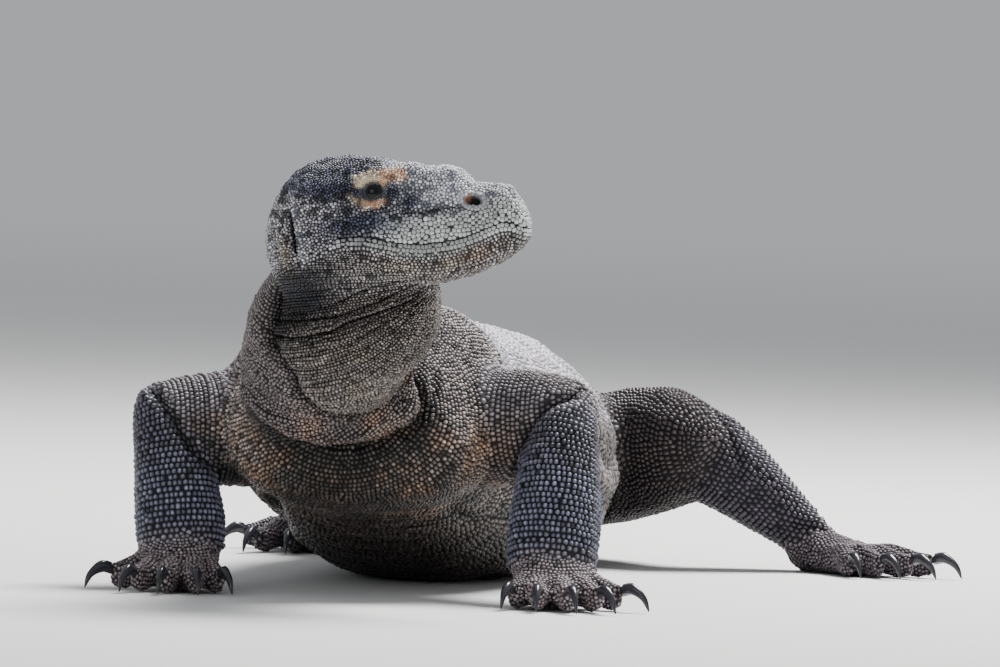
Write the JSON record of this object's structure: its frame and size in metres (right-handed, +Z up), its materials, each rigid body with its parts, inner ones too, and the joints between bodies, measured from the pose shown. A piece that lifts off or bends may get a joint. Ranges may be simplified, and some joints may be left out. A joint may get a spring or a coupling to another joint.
{
  "type": "komodo dragon",
  "caption": "Life-size still model of a large monitor lizard resting on its belly, chest propped on its forelegs and head turned to its left; a museum-type display animal",
  "frame": {"origin": "On the floor, in the middle of the flat that the belly rests on", "axes": "+Z up; the body lies along Y with its front towards -Y and its left side towards +X; the head is turned to its left, towards +X"},
  "size_m": [0.6936, 2.1274, 0.3363],
  "materials": {
    "pale_scales": "small bead scales, pale grey with dark speckle, dry satin",
    "lip_scales": "smooth lip plates and bead scales, pale greenish grey",
    "hide": "rows of bead scales, grey over near-black skin",
    "dusky_hide": "dark bead scales with a dull sheen",
    "foot_hide": "small reddish-brown scales and pads",
    "claw": "polished dark grey horn",
    "eye": "wet, dark brown iris"
  },
  "bodies": {
    "root": {"head": "pale_scales", "lower_jaw": "lip_scales", "neck": "hide", "chest": "hide", "belly": "hide", "hips": "hide", "tail_base": "hide", "tail_front": "hide", "tail_middle": "hide", "tail_rear": "hide", "tail_tip": "hide", "upper_arm_left": "hide", "upper_arm_right": "hide", "forearm_left": "dusky_hide", "forearm_right": "dusky_hide", "thigh_left": "dusky_hide", "thigh_right": "dusky_hide", "shank_left": "dusky_hide", "shank_right": "dusky_hide", "hand_left": "foot_hide", "hand_right": "foot_hide", "foot_left": "foot_hide", "foot_right": "foot_hide", "eye_left": "eye", "eye_right": "eye", "hand_left_claw_1": "claw", "hand_left_claw_2": "claw", "hand_left_claw_3": "claw", "hand_left_claw_4": "claw", "hand_left_claw_5": "claw", "hand_right_claw_1": "claw", "hand_right_claw_2": "claw", "hand_right_claw_3": "claw", "hand_right_claw_4": "claw", "hand_right_claw_5": "claw", "foot_left_claw_1": "claw", "foot_left_claw_2": "claw", "foot_left_claw_3": "claw", "foot_left_claw_4": "claw", "foot_left_claw_5": "claw", "foot_right_claw_1": "claw", "foot_right_claw_2": "claw", "foot_right_claw_3": "claw", "foot_right_claw_4": "claw", "foot_right_claw_5": "claw"}
  },
  "joints": []
}
